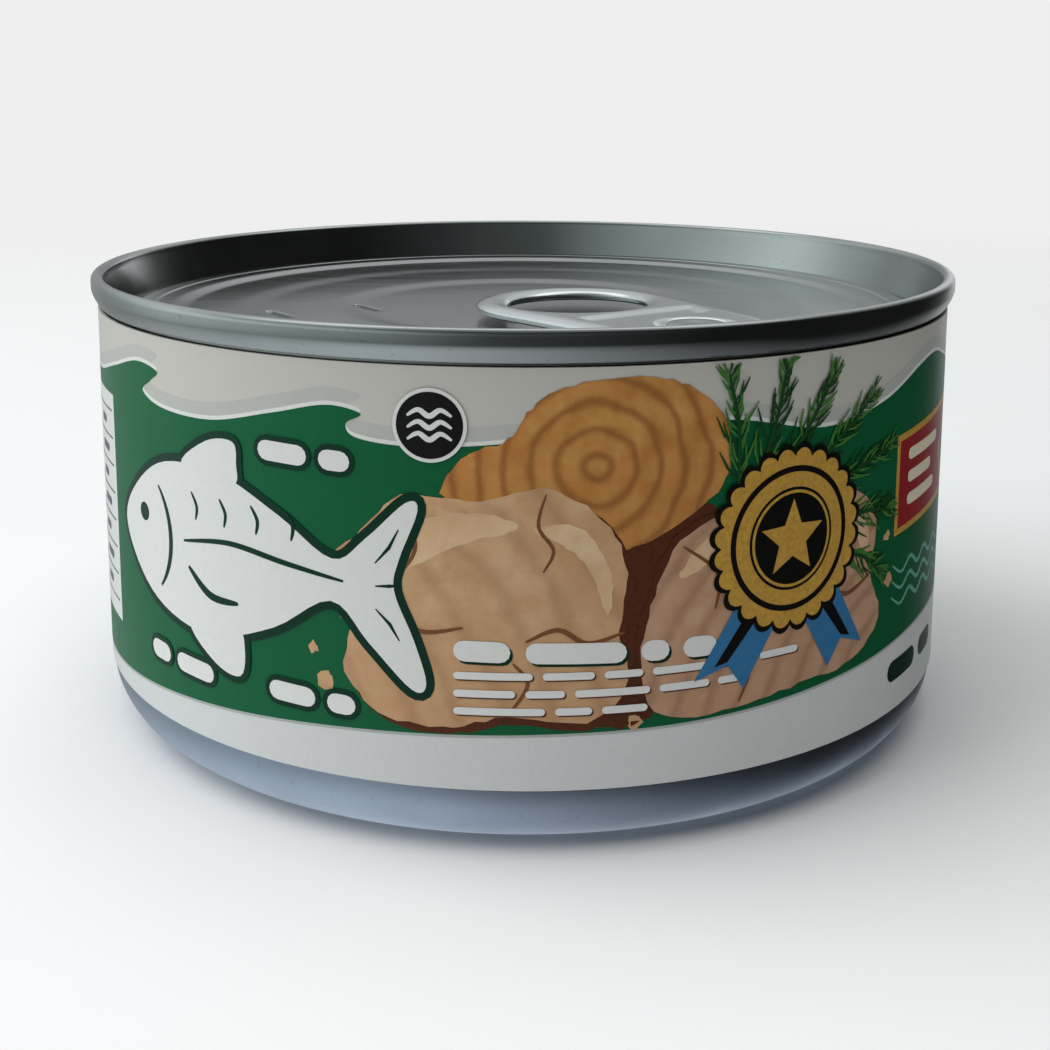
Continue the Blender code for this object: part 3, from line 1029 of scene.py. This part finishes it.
def print_herb():
    """A sprig of soft needle leaves over the picture; a stem leans from upright by an angle."""
    draw = random.Random(11)
    stems, pale, deep = [], [], []
    highest = PRINT_TOP - 0.15
    for root_x, root_y, lean, length in HERB_STEMS:
        tip = (root_x + length * math.sin(lean), min(highest, root_y + length * math.cos(lean)))
        middle = ((root_x + tip[0]) / 2 + 0.5, (root_y + tip[1]) / 2 + 0.5)
        path = smooth_line(((root_x, root_y), middle, tip), 9)
        stems.append(stroke(path, 0.34))
        for index in range(3, len(path)):
            x, y = path[index]
            for turn in (-1, 1):
                angle = math.pi / 2 - lean + turn * draw.uniform(0.35, 0.85)
                reach = draw.uniform(1.9, 3.6) * (1.2 - 0.7 * index / len(path))
                bend = turn * draw.uniform(0.05, 0.3)
                leaf = [(x, y)]
                for far, way in ((0.5 * reach, angle), (reach, angle - bend)):
                    leaf.append((x + far * math.cos(way), min(highest, y + far * math.sin(way))))
                (pale if draw.random() < 0.5 else deep).append(stroke(leaf, 0.25))
    printed("herb_deep", deep, 6.4, "ink_herb_dark")
    printed("herb_pale", pale, 7.0, "ink_herb")
    printed("herb_stems", stems, 7.6, "ink_herb_dark")


def print_rosette():
    """A plain gold and black rosette with two ribbon tails."""
    x, y = 23.6, 25.6
    tails = [
        [(x - 5.6, 20.4), (x - 9.2, 14.6), (x - 6.2, 15.6), (x - 4.6, 13.4), (x - 1.2, 19.0)],
        [(x + 5.6, 20.4), (x + 9.2, 14.6), (x + 6.2, 15.6), (x + 4.6, 13.4), (x + 1.2, 19.0)],
    ]
    inner_tails = []
    for sign in (-1, 1):
        inner_tails.append([(x + sign * 4.6, 19.6), (x + sign * 7.4, 15.6), (x + sign * 6.2, 15.9),
                            (x + sign * 3.4, 19.3)])
    printed("ribbon_tails", tails, 8.2, "ink_blue")
    printed("ribbon_stripes", inner_tails, 8.8, "ink_black")
    printed("rosette_edge", [scallop(x, y, 8.2, 7.5)], 9.4, "ink_black")
    printed("rosette_gold", [scallop(x, y, 7.7, 7.0)], 10.0, "ink_gold")
    printed("rosette_rings", ring_halves(x, y, 6.2, 5.7) + [disc(x, y, 4.4)], 10.6, "ink_black")
    printed("rosette_star", [star(x, y, 3.4, 1.5)] + ring_halves(x, y, 4.15, 3.9), 11.2, "ink_gold")


FISH_BODY = (
    (-43.0, 23.4), (-40.0, 27.2), (-34.5, 30.2), (-27.0, 30.4), (-20.6, 27.8), (-15.6, 24.8), (-12.6, 26.8),
    (-9.2, 30.0), (-8.2, 29.4), (-9.8, 25.2), (-10.2, 22.6), (-8.6, 18.6), (-7.6, 15.0), (-8.8, 14.4),
    (-12.4, 18.0), (-15.8, 21.2), (-21.4, 18.0), (-28.6, 15.8), (-35.6, 16.8), (-40.4, 19.6),
)


def widened(outline, margin):
    """The outline moved outwards all round."""
    wide = []
    total = len(outline)
    turning = 0.0
    for (x0, y0), (x1, y1) in zip(outline[-1:] + outline[:-1], outline):
        turning += x0 * y1 - x1 * y0
    if turning > 0:
        margin = -margin
    for index, (x, y) in enumerate(outline):
        x0, y0 = outline[index - 1]
        x1, y1 = outline[(index + 1) % total]
        length = math.hypot(x1 - x0, y1 - y0) or 1.0
        wide.append((x - (y1 - y0) / length * margin, y + (x1 - x0) / length * margin))
    return wide


def print_fish_mark():
    """A plain white fish with a dark edge, and bars above and below it."""
    body = blob(FISH_BODY, 5)
    fins = [
        blob(((-32.0, 30.4), (-28.6, 33.0), (-25.4, 33.4), (-25.0, 31.6), (-25.6, 29.6)), 5),
        blob(((-25.6, 17.2), (-24.6, 15.4), (-25.2, 12.9), (-28.2, 13.4), (-31.4, 16.2)), 5),
    ]
    printed("fish_edge", [widened(body, 0.7)], 5.0, "ink_green_dark")
    printed("fin_edges", [widened(fin, 0.6) for fin in fins], 5.4, "ink_green_dark")
    printed("fish_fins", fins, 6.0, "ink_white")
    printed("fish_body", [body], 6.6, "ink_white")
    details = [disc(-38.6, 24.8, 0.85, 24)]
    details.append(stroke(arc(-40.6, 23.2, 6.6, -44.0, 44.0, 16), 0.6))
    details.append(pen(((-32.0, 23.6), (-26.0, 24.5), (-20.0, 23.8), (-14.6, 23.0)), 8, 0.5))
    details.append(pen(((-31.4, 21.4), (-28.6, 19.4), (-25.2, 19.3)), 8, 0.7))
    for index in range(4):
        x = -30.0 + 3.6 * index
        details.append(pen(((x - 0.7, 28.2), (x, 27.0), (x - 0.2, 25.8)), 5, 0.36))
    for lift in (-1.6, 0.0, 1.6):
        ray = [(-11.8, 22.9 + 1.2 * lift), (-10.6, 23.0 + 2.0 * lift), (-9.8, 23.1 + 2.9 * lift)]
        details.append(stroke(ray, 0.3))
    printed("fish_lines", details, 7.2, "ink_green_dark")
    upper = bar_row(-22.6, 33.2, 1.7, (4.8, 2.8), 1.1, -0.03)
    lower = bar_row(-38.0, 12.4, 1.7, (3.2, 5.2), 1.1, -0.03)
    lower += bar_row(-22.0, 12.6, 1.7, (4.6, 2.6), 1.1, -0.03)
    for name, bars in (("upper", upper), ("lower", lower)):
        shade = [widened(outline, 0.45) for outline in bars]
        printed("%s_shade" % name, shade, 5.0, "ink_green_dark")
        printed("%s_bars" % name, bars, 5.6, "ink_white")


def print_small_marks():
    """A dark roundel with waves, and rows of rounded bars over the chunks."""
    x, y = -7.2, 36.4
    printed("roundel_ground", [disc(x, y, 3.0)], 6.0, "ink_white")
    printed("roundel_disc", [disc(x, y, 2.7)], 6.6, "ink_black")
    waves = []
    for lift in (-0.95, 0.0, 0.95):
        low, high = y + lift - 0.2, y + lift + 0.3
        knots = ((x - 1.8, low), (x - 0.9, high), (x, low), (x + 0.9, high), (x + 1.8, low))
        waves.append(pen(knots, 6, 0.45))
    printed("roundel_waves", waves, 7.2, "ink_white")
    title = bar_row(-5.4, 18.0, 1.75, (4.6, 8.2, 2.4, 3.0), 1.2, -0.02)
    shadow = [[(px + 0.22, py - 0.24) for px, py in outline] for outline in title]
    printed("title_shadow", shadow, 6.0, "ink_green_dark")
    printed("title_bars", title, 6.6, "ink_white")
    lines = bar_row(-5.4, 15.9, 0.62, (6.4, 4.2, 3.2, 5.2, 3.0, 4.0), 0.8)
    lines += bar_row(-5.4, 14.4, 0.62, (5.0, 3.2, 6.2, 4.4, 2.6), 0.8)
    lines += bar_row(-5.4, 12.9, 0.62, (7.4, 3.0, 3.8), 0.8)
    shade = [[(px + 0.12, py - 0.12) for px, py in outline] for outline in lines]
    printed("line_shadow", shade, 6.0, "ink_brown")
    printed("line_bars", lines, 6.6, "ink_white")


def print_right_side():
    """A red pennant with plain bars, water lines and two bars on the white band."""
    pennant = [(38.6, 31.4), (52.6, 32.4), (50.6, 28.2), (52.6, 24.2), (38.6, 23.4)]
    edge = [(38.0, 32.0), (53.8, 33.1), (51.6, 28.2), (53.8, 23.6), (38.0, 22.8)]
    printed("pennant_edge", [edge], 2.0, "ink_gold")
    printed("pennant", [pennant], 2.6, "ink_red")
    bars = []
    for y, length in ((29.9, 8.6), (27.8, 6.4), (25.7, 7.8)):
        bars.append(bar(40.4, 40.4 + length, y, 1.1, 0.03))
    printed("pennant_bars", bars, 3.2, "ink_cream_white")
    waves = [ripple(38.0, 16.6 + lift, 2.0, 0.5, 6, 0.42) for lift in (0.0, 1.5, 3.0)]
    printed("water_lines", waves, 2.0, "ink_green_pale")
    low = bar_row(38.0, 9.8, 2.0, (6.4, 4.8), 1.4, 0.02)
    printed("band_bars", low, 1.0, "ink_green_dark")


def print_back():
    """A ruled panel, small fish over water, and rows of bars round the can's far side."""
    panel = [(-84.0, 12.0), (-46.4, 12.0), (-46.4, 34.0), (-84.0, 34.0)]
    printed("table_panel", [panel], 2.0, "ink_white")
    rules = []
    for index in range(8):
        y = 13.8 + 2.65 * index
        rules.append([(-83.0, y - 0.09), (-47.2, y - 0.09), (-47.2, y + 0.09), (-83.0, y + 0.09)])
    printed("table_rules", rules, 2.8, "ink_grey")
    rows = []
    for index in range(7):
        y = 15.1 + 2.65 * index
        rows += bar_row(-82.0, y, 0.8, (7.0 + (index * 5) % 4, 4.0 + index % 3), 0.9)
        rows += bar_row(-52.6, y, 0.8, (2.6 + index % 2,), 0.9)
    printed("table_rows", rows, 2.8, "ink_grey")
    fish = []
    swell = []
    for x, y in ((-120.0, 25.0), (-104.0, 29.0), (-100.0, 21.5), (118.0, 28.0), (126.0, 20.5)):
        fish.append(blob(((x - 5.0, y), (x - 2.4, y + 1.9), (x + 1.4, y + 1.7), (x + 3.4, y + 0.3),
                          (x + 5.4, y + 1.9), (x + 5.0, y), (x + 5.6, y - 1.9), (x + 3.4, y - 0.3),
                          (x + 1.2, y - 1.7), (x - 2.4, y - 1.7)), 5))
    for start, y in ((-128.0, 13.0), (-124.0, 15.0), (112.0, 13.6), (108.0, 15.6)):
        swell.append(ripple(start, y, 2.2, 0.45, 5, 0.4))
    printed("back_fish", fish, 2.0, "ink_green_pale")
    printed("back_water", swell, 2.0, "ink_green_pale")
    rows = []
    for index in range(9):
        lengths = [3.0 + (index * 7 + step * 5) % 5 for step in range(6)]
        rows += bar_row(72.0, 31.5 - 2.1 * index, 0.9, lengths, 1.0)
    printed("back_text", rows, 2.0, "ink_cream_white")


TOP_CHUNK = (srgb(212, 156, 88), srgb(184, 122, 56), srgb(126, 72, 28))
LEFT_CHUNK = (srgb(212, 176, 136), srgb(190, 149, 107), srgb(144, 100, 62))
RIGHT_CHUNK = (srgb(206, 168, 136), srgb(182, 141, 109), srgb(138, 96, 68))
LEDGES = (srgb(224, 196, 158), srgb(208, 172, 132), srgb(184, 144, 104))

# Screen colours, and the share by which the paper's fibres darken them
INKS = {
    "green": (0, 94, 54, 0.1),
    "green_dark": (0, 50, 32, 0.15),
    "green_pale": (96, 170, 146, 0.1),
    "white": (222, 224, 220, 0.05),
    "cream_white": (228, 218, 190, 0.06),
    "pale_grey": (170, 178, 174, 0.06),
    "shade_pale": (184, 186, 180, 0.05),
    "grey": (92, 98, 100, 0.1),
    "black": (20, 20, 18, 0.2),
    "gold": (206, 160, 62, 0.3),
    "blue": (46, 118, 168, 0.15),
    "red": (156, 30, 36, 0.18),
    "tan_line": (128, 82, 48, 0.25),
    "brown": (92, 46, 22, 0.3),
    "herb": (70, 128, 52, 0.3),
    "herb_dark": (28, 78, 34, 0.3),
}


def build_print():
    """Mixes the inks, then prints the label piece by piece."""
    for name, (red, green, blue, spread) in INKS.items():
        light = srgb(red, green, blue)
        paper_finish("ink_" + name, light, dimmed(light, 1 - spread))
    flesh_finish("flesh_top", (6.0, 33.0), 150.0, TOP_CHUNK, 25, 41, 0.6)
    flesh_finish("flesh_left", (-34.0, 4.0), 90.0, LEFT_CHUNK, 10, 30, 0.3)
    flesh_finish("flesh_right", (40.0, 6.0), 120.0, RIGHT_CHUNK, 8, 30, 0.42)
    flesh_finish("flesh_pale", (0.0, -20.0), 60.0, LEDGES, 10, 30, 0.3)
    print_background()
    print_fish_chunks()
    print_herb()
    print_rosette()
    print_fish_mark()
    print_small_marks()
    print_right_side()
    print_back()


def build_can():
    """Finishes, the five pieces that stand for the can's solids, and the print."""
    sheet_metal_group()
    paper_group()
    flesh_group()
    steel = metal_finish(
        "drawn_steel_fine", srgb(184, 195, 212), srgb(166, 177, 193), 0.32, 0.42, 500.0, 0.06
    )
    lid_steel = metal_finish(
        "lid_steel_fine", srgb(178, 181, 180), srgb(160, 163, 162), 0.17, 0.22, 500.0, 0.03
    )
    # Painted shade inside the two pressed dashes of the lid
    paint_dash_shade(lid_steel)
    tab_steel = metal_finish(
        "tab_steel_fine", srgb(222, 226, 228), srgb(204, 208, 209), 0.15, 0.22, 900.0, 0.04
    )
    rivet_steel = metal_finish(
        "rivet_steel_fine", srgb(196, 200, 202), srgb(172, 176, 178), 0.18, 0.26, 900.0, 0.04
    )
    # The upper colour is painted shade towards the top of the label
    white = paper_finish(
        "label_white", srgb(210, 212, 211), srgb(205, 207, 207), upper=srgb(194, 193, 184)
    )

    cup = turned("can_body_fine", cup_profile(), FINE_STEPS, steel)
    lid_line = fill_in(lid_profile(), 0.5 * MM)
    lid = turned("lid_fine", lid_line, LID_STEPS, lid_steel, press_dashes)
    tab = make_pull_tab(tab_steel)
    sleeve = make_sleeve(white)
    rivet = turned("rivet_fine", rivet_profile(), 96, rivet_steel)
    rivet_place = polar(0.0, 0.0, RING_OFFSET + RIVET_DISTANCE, TAB_TURN)
    rivet.data.transform(Matrix.Translation((*rivet_place, 0.0)))
    for piece, node, slot in (
        (cup, "can_body", "drawn_steel"),
        (lid, "lid", "lid_steel"),
        (tab, "pull_tab", "tab_steel"),
        (sleeve, "label", "label_paper"),
        (rivet, "rivet", "lid_steel"),
    ):
        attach(piece, "root")
        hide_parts(node)
    build_print()


# Camera, light and floor

IMAGE_SIZE = 1050
CAMERA_FOCAL = 1543.359
CAMERA_DISTANCE = 160.307 * MM
CAMERA_HEIGHT = 63.912 * MM
CAMERA_PITCH = 0.17130
CAMERA_YAW = -0.01360
CAMERA_ROLL = 0.0003
CAMERA_SHIFT = (24.515, -189.143)
ROOM_LEFT = 0.66
ROOM_WINDOW = 0.3
ROOM_FRONT = 0.11
ROOM_RIGHT = 0.55
ROOM_HIGH = 1.3
ROOM_BACK = 0.3
ROOM_BELOW = 0.62
ROOM_ABOVE = 0.42
ROOM_CEILING = 0.3
WINDOW_TINT = (0.86, 1.0, 1.0, 1.0)
WALL_TINT = (0.95, 0.98, 1.0, 1.0)
TABLE_TINT = (0.86, 0.93, 1.0, 1.0)
PLAIN_TINT = (1.0, 1.0, 1.0, 1.0)
ROOM_DARKEST = 0.015
BACKGROUND_LIGHT = 0.86
FLOOR_FADE_START = 0.12
FLOOR_FADE_END = 0.5
SOFT_FILL = 0.05
WINDOW_PLACE = (-0.85, -0.10, 0.62)
WINDOW_AIM = (0.0, 0.0, 0.025)
WINDOW_WIDTH = 1.4
WINDOW_HEIGHT = 1.1
WINDOW_COLOUR = (0.95, 0.98, 1.0)
WINDOW_POWER = 12.0
OVERHEAD_POWER = 1.85
OVERHEAD_SPREAD = math.radians(70)


def make_camera():
    """The photo's camera: in front of the can and above it, and tilted down a little."""
    camera = bpy.data.cameras.new("camera")
    item = add_object("camera", camera)
    flat = math.cos(CAMERA_PITCH)
    drop = math.sin(CAMERA_PITCH)
    ahead = Vector((math.sin(CAMERA_YAW) * flat, math.cos(CAMERA_YAW) * flat, -drop))
    right = Vector((math.cos(CAMERA_YAW), -math.sin(CAMERA_YAW), 0.0))
    up = right.cross(ahead)
    side = right * math.cos(CAMERA_ROLL) + up * math.sin(CAMERA_ROLL)
    top = up * math.cos(CAMERA_ROLL) - right * math.sin(CAMERA_ROLL)
    turn = Matrix((side, top, -ahead)).transposed().to_4x4()
    item.matrix_world = Matrix.Translation((0.0, -CAMERA_DISTANCE, CAMERA_HEIGHT)) @ turn
    camera.sensor_width = 36.0
    camera.lens = CAMERA_FOCAL / IMAGE_SIZE * camera.sensor_width
    camera.shift_x = CAMERA_SHIFT[0] / IMAGE_SIZE
    camera.shift_y = CAMERA_SHIFT[1] / IMAGE_SIZE
    camera.clip_start = 0.01
    bpy.context.scene.camera = item


def make_floor():
    """A pale floor that fades into the background away from the can."""
    shape = bmesh.new()
    bmesh.ops.create_circle(shape, cap_ends=True, segments=96, radius=3.0)
    floor_paint, tree, shader = new_material("pale_floor")
    place = object_place(tree)
    grain = add_noise(tree, place, 30.0, 3.0)
    paint = mix_colours(tree, grain, srgb(240, 240, 240), srgb(236, 237, 238))
    tree.links.new(paint, shader.inputs["Base Color"])
    shader.inputs["Roughness"].default_value = 0.9
    reach = tree.nodes.new("ShaderNodeVectorMath")
    reach.operation = "LENGTH"
    tree.links.new(place, reach.inputs[0])
    fade = tree.nodes.new("ShaderNodeMixShader")
    far = add_range(tree, reach.outputs["Value"], FLOOR_FADE_START, FLOOR_FADE_END)
    tree.links.new(far, fade.inputs["Fac"])
    tree.links.new(shader.outputs["BSDF"], fade.inputs[1])
    clear = tree.nodes.new("ShaderNodeBsdfTransparent")
    tree.links.new(clear.outputs["BSDF"], fade.inputs[2])
    tree.links.new(fade.outputs["Shader"], tree.nodes["Material Output"].inputs["Surface"])
    floor = finish_mesh("floor", shape, floor_paint)
    floor.visible_glossy = False


def make_world():
    """The room that only the metal mirrors, an even soft fill, and the pale background.

    Directions are the can's: X runs to the right, Y to the back and Z up. The room has a wide
    window on the left, soft light at the back and high up, a bright strip at the right and a
    table below.
    """
    world = bpy.data.worlds.new("studio")
    world.use_nodes = True
    tree = world.node_tree
    tree.nodes.remove(tree.nodes["Background"])
    ways = tree.nodes.new("ShaderNodeTexCoord").outputs["Generated"]
    across, behind, upward = split_axes(tree, ways)
    path = tree.nodes.new("ShaderNodeLightPath")

    def ramp(value, low, high, out_low=0.0, out_high=1.0):
        return add_range(tree, value, low, high, out_low, out_high)

    def combine(operation, first, *others):
        for other in others:
            first = add_math(tree, operation, first, other)
        return first

    # The window grows to the left, with a brighter pane, and dims below, high up and behind
    window = combine(
        "ADD",
        ramp(across, -0.15, -0.85, 0.0, ROOM_LEFT),
        ramp(across, -0.86, -0.98, 0.0, ROOM_WINDOW),
        ramp(across, 0.75, -0.2, 0.0, ROOM_FRONT),
    )
    window = combine(
        "MULTIPLY",
        window,
        ramp(upward, -0.4, 0.2, 0.3, 1.0),
        ramp(upward, 0.8, 0.5, 0.5, 1.0),
        ramp(behind, 0.75, 0.2, 0.35, 1.0),
    )
    # The back wall, a band above it and a brighter band high up, all ending at the right
    back = ramp(behind, 0.1, 1.0, 0.0, ROOM_BACK)
    above = combine("MINIMUM", ramp(upward, 0.2, 0.5), ramp(upward, 0.9, 0.7))
    above = combine("MULTIPLY", above, ramp(behind, -0.1, 0.5, 0.0, ROOM_ABOVE))
    high = combine("MINIMUM", ramp(upward, 0.7, 0.82), ramp(upward, 0.99, 0.9))
    high = combine("MULTIPLY", high, ramp(behind, -0.3, 0.3, 0.0, ROOM_HIGH))
    walls = combine("MULTIPLY", combine("ADD", above, high, back), ramp(across, 0.8, 0.4))
    # A strip behind, to the right, at the height of the rim
    right = combine(
        "MINIMUM",
        ramp(across, 0.14, 0.34),
        ramp(across, 0.62, 0.46),
        ramp(upward, 0.4, 0.26),
        ramp(upward, -0.4, 0.1),
    )
    right = combine("MULTIPLY", right, ramp(behind, 0.5, 0.8, 0.0, ROOM_RIGHT))
    ceiling = ramp(upward, 0.9, 1.0, 0.0, ROOM_CEILING)
    walls = combine("ADD", walls, right, ceiling, ROOM_DARKEST)
    table = combine("MULTIPLY", ramp(upward, -0.3, -0.8, 0.0, ROOM_BELOW), ramp(across, 0.8, -0.2))
    seen = combine("MULTIPLY", path.outputs["Is Camera Ray"], BACKGROUND_LIGHT)
    soft = combine("MULTIPLY", path.outputs["Is Diffuse Ray"], SOFT_FILL)

    mirrored = path.outputs["Is Glossy Ray"]
    light = None
    for colour, strength in (
        (WINDOW_TINT, combine("MULTIPLY", window, mirrored)),
        (WALL_TINT, combine("MULTIPLY", walls, mirrored)),
        (TABLE_TINT, combine("MULTIPLY", table, mirrored)),
        (PLAIN_TINT, combine("ADD", seen, soft)),
    ):
        glow = tree.nodes.new("ShaderNodeBackground")
        glow.inputs["Color"].default_value = colour
        tree.links.new(strength, glow.inputs["Strength"])
        if light is None:
            light = glow.outputs["Background"]
            continue
        both = tree.nodes.new("ShaderNodeAddShader")
        tree.links.new(light, both.inputs[0])
        tree.links.new(glow.outputs["Background"], both.inputs[1])
        light = both.outputs["Shader"]
    tree.links.new(light, tree.nodes["World Output"].inputs["Surface"])
    bpy.context.scene.world = world


def make_light():
    """A window lamp at the left and a soft light from above; the metal mirrors neither."""
    make_world()
    lamp = bpy.data.lights.new("window", "AREA")
    lamp.shape = "RECTANGLE"
    lamp.size = WINDOW_WIDTH
    lamp.size_y = WINDOW_HEIGHT
    lamp.energy = WINDOW_POWER
    lamp.color = WINDOW_COLOUR
    window = add_object("window", lamp)
    window.location = WINDOW_PLACE
    aim = Vector(WINDOW_AIM) - Vector(WINDOW_PLACE)
    window.rotation_euler = aim.to_track_quat("-Z", "Y").to_euler()
    sun = bpy.data.lights.new("overhead", "SUN")
    sun.energy = OVERHEAD_POWER
    sun.angle = OVERHEAD_SPREAD
    for item in (window, add_object("overhead", sun)):
        item.visible_glossy = False
    bpy.context.scene.view_settings.view_transform = "Standard"


build_can()
make_camera()
make_light()
make_floor()
